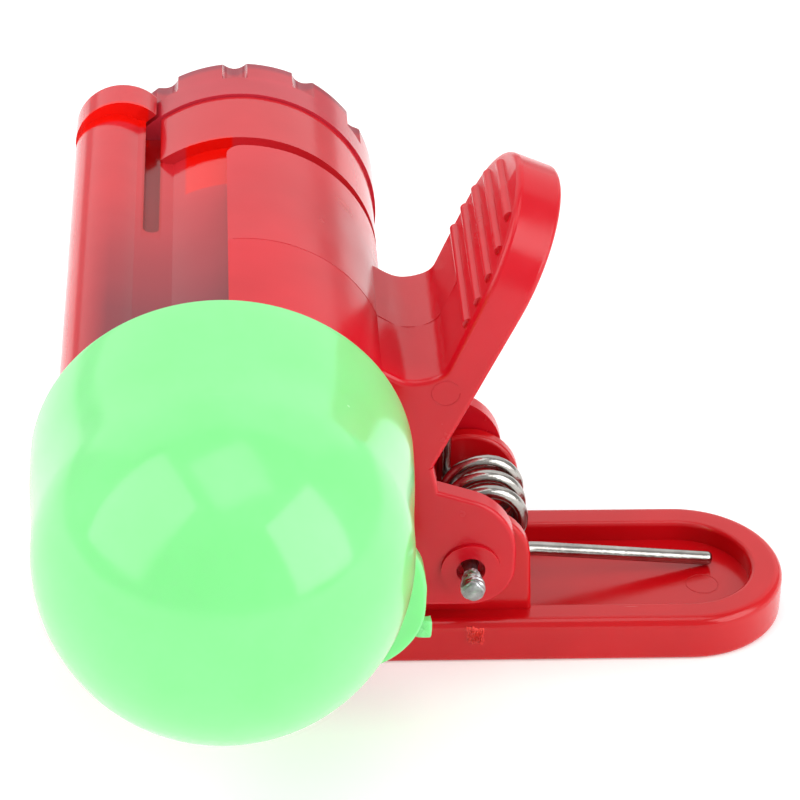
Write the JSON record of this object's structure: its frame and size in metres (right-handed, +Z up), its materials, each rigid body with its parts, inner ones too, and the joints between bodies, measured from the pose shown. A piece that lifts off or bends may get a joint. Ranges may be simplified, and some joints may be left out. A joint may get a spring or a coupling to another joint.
{
  "type": "fishing bite alarm",
  "caption": "Clip-on rod-tip bite alarm: opal dome lamp on a clear red twin barrel, held by a sprung jaw clip with thumb lever and handle plate.",
  "frame": {"origin": "on the underside plane of the handle plate, under the middle of the whole outline", "axes": "+Z up; +Y along the barrel from the dome lamp to the battery cap; +X from the barrel towards the free end of the handle plate"},
  "size_m": [0.0526, 0.061, 0.0355],
  "materials": {
    "opal_green": "opal, glossy",
    "clear_red": "transparent, glossy",
    "clear_red_cap": "transparent, glossy",
    "red_plastic": "opaque, glossy",
    "red_plastic_lower": "opaque, glossy",
    "pin_steel": "drawn wire, cut end",
    "spring_steel": "drawn spring wire",
    "seal_rubber": "satin",
    "board_laminate": "solder mask",
    "led_epoxy": "water clear",
    "tinned_wire": "tinned",
    "black_resin": "glossy resin",
    "resistor_ceramic": "ceramic",
    "buzzer_shell": "satin",
    "contact_metal": "nickel-plated strip",
    "cell_can": "polished can",
    "sleeve_plastic": "satin",
    "contact_spring": "plated wire",
    "sensor_metal": "satin",
    "sensor_insulator": "satin"
  },
  "bodies": {
    "alarm": {"alarm_body": "clear_red", "upper_arm": "red_plastic", "pivot_pin": "pin_steel", "torsion_spring": "spring_steel", "dome_seal": "seal_rubber", "circuit_board": "board_laminate", "led": "led_epoxy", "led_leads": "tinned_wire", "driver_chip": "black_resin", "board_parts": "resistor_ceramic", "buzzer": "buzzer_shell", "front_contact": "contact_metal", "cell_1": "cell_can", "cell_2": "cell_can", "cell_3": "cell_can", "cell_sleeve": "sleeve_plastic", "battery_spring": "contact_spring", "sensor_tube": "sensor_metal", "sensor_plugs": "sensor_insulator", "sensor_post": "tinned_wire", "sensor_spring": "contact_spring"},
    "clip_arm": {"lower_arm": "red_plastic_lower"},
    "rear_cap": {"battery_cap": "clear_red_cap", "rear_contact": "contact_metal", "cap_seal": "seal_rubber"},
    "front_dome": {"dome_cap": "opal_green"}
  },
  "joints": [
    {"name": "clip_open", "type": "hinge", "parent": "alarm", "child": "clip_arm", "pos_m": [0.00317, 0.0041, 0.008], "axis": [0, -1, 0], "range_deg": [0, 25], "stiffness_Nm_per_rad": 0.12, "springref_deg": -34.38, "deforming": ["torsion_spring"]},
    {"name": "cap_turn", "type": "hinge", "parent": "alarm", "child": "rear_cap", "pos_m": [-0.01233, 0.0275, 0.0203], "axis": [0, 1, 0], "range_deg": [0, 90]},
    {"name": "dome_turn", "type": "hinge", "parent": "alarm", "child": "front_dome", "pos_m": [-0.01383, -0.0125, 0.0203], "axis": [0, -1, 0], "range_deg": [0, 60]}
  ]
}
